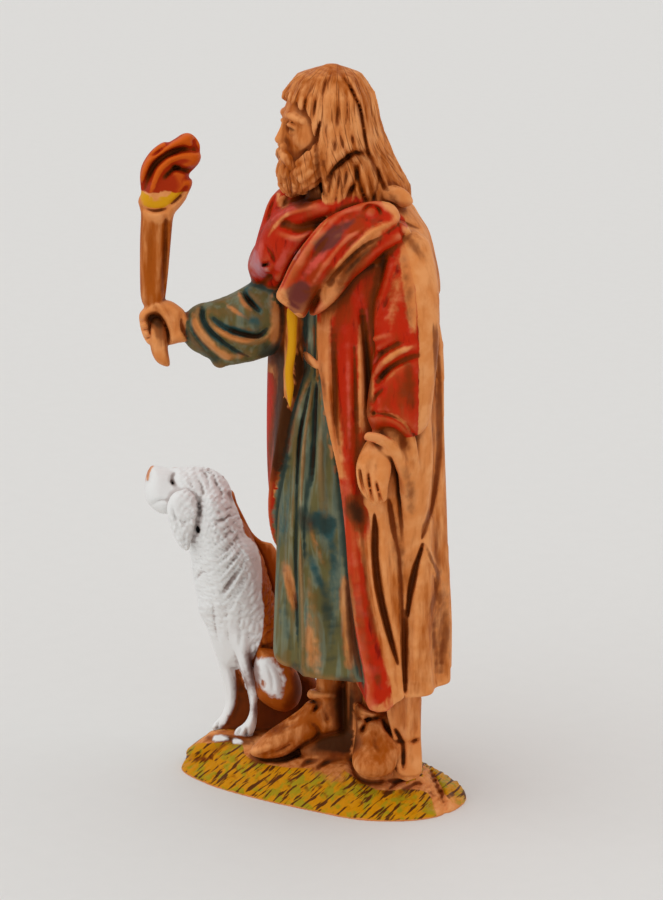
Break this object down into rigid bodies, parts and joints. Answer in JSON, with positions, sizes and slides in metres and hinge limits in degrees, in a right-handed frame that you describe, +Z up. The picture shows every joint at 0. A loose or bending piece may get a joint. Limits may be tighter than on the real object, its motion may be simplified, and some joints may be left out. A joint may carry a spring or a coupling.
{
  "type": "presepe figure",
  "caption": "Moulded plastic nativity figure of a bearded shepherd in tunic and cloak with a raised burning torch and a sitting dog, on a low grassy mound.",
  "frame": {"origin": "middle of the mound's flat underside", "axes": "+Z up, -Y the way the man's body faces, +X to the man's left"},
  "size_m": [0.0466, 0.0372, 0.1],
  "materials": {
    "painted_plastic": "satin, hand painted with a dark wash in the recesses"
  },
  "bodies": {
    "root": {"shepherd_with_dog": "painted_plastic"}
  },
  "joints": []
}
